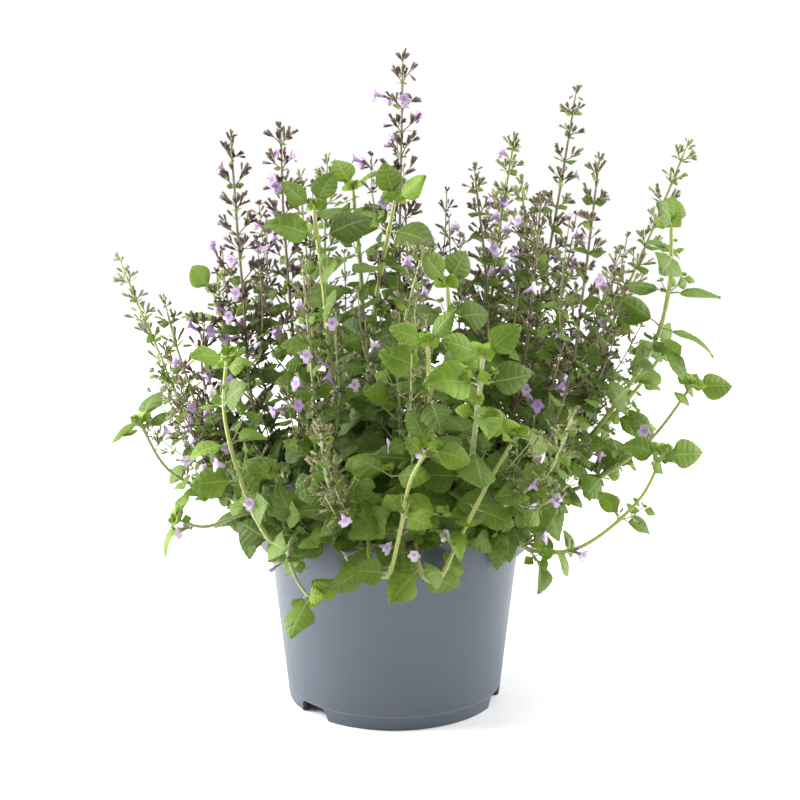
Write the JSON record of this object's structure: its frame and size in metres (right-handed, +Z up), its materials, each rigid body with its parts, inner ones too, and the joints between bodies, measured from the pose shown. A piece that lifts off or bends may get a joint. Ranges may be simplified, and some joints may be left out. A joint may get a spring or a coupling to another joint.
{
  "type": "potted lesser calamint plant",
  "caption": "Bushy mint-family herb with toothed leaves and small lilac flowers on upright and trailing square stems, in a round grey nursery pot.",
  "frame": {"origin": "centre of the foot ring's ground plane, on the pot's axis", "axes": "+Z up along the pot's axis, the front of the plant faces -Y, +X to the right of the front"},
  "size_m": [0.363, 0.2975, 0.3887],
  "materials": {
    "pot_plastic": "matte",
    "potting_soil": "matte",
    "dark_stem": "matte",
    "green_stem": "matte",
    "pale_stem": "matte"
  },
  "bodies": {
    "root": {"pot": "pot_plastic", "soil": "potting_soil", "stem_01": "dark_stem", "stem_02": "dark_stem", "stem_03": "dark_stem", "stem_04": "green_stem", "stem_05": "dark_stem", "stem_06": "green_stem", "stem_07": "green_stem", "stem_08": "dark_stem", "stem_09": "dark_stem", "stem_10": "green_stem", "stem_11": "dark_stem", "stem_12": "green_stem", "stem_13": "dark_stem", "stem_14": "pale_stem", "stem_15": "green_stem", "stem_16": "dark_stem", "stem_17": "pale_stem", "stem_18": "pale_stem", "stem_19": "pale_stem", "stem_20": "green_stem", "stem_21": "green_stem", "stem_22": "green_stem", "stem_23": "pale_stem", "stem_24": "green_stem", "stem_25": "pale_stem", "stem_26": "pale_stem", "stem_27": "pale_stem", "stem_28": "pale_stem", "stem_29": "green_stem", "stem_30": "green_stem", "stem_31": "pale_stem", "stem_32": "pale_stem", "stem_33": "green_stem", "stem_34": "green_stem", "stem_35": "green_stem", "stem_36": "green_stem", "stem_37": "dark_stem", "stem_38": "green_stem", "stem_39": "green_stem", "stem_40": "green_stem", "stem_41": "green_stem", "stem_42": "green_stem"}
  },
  "joints": []
}
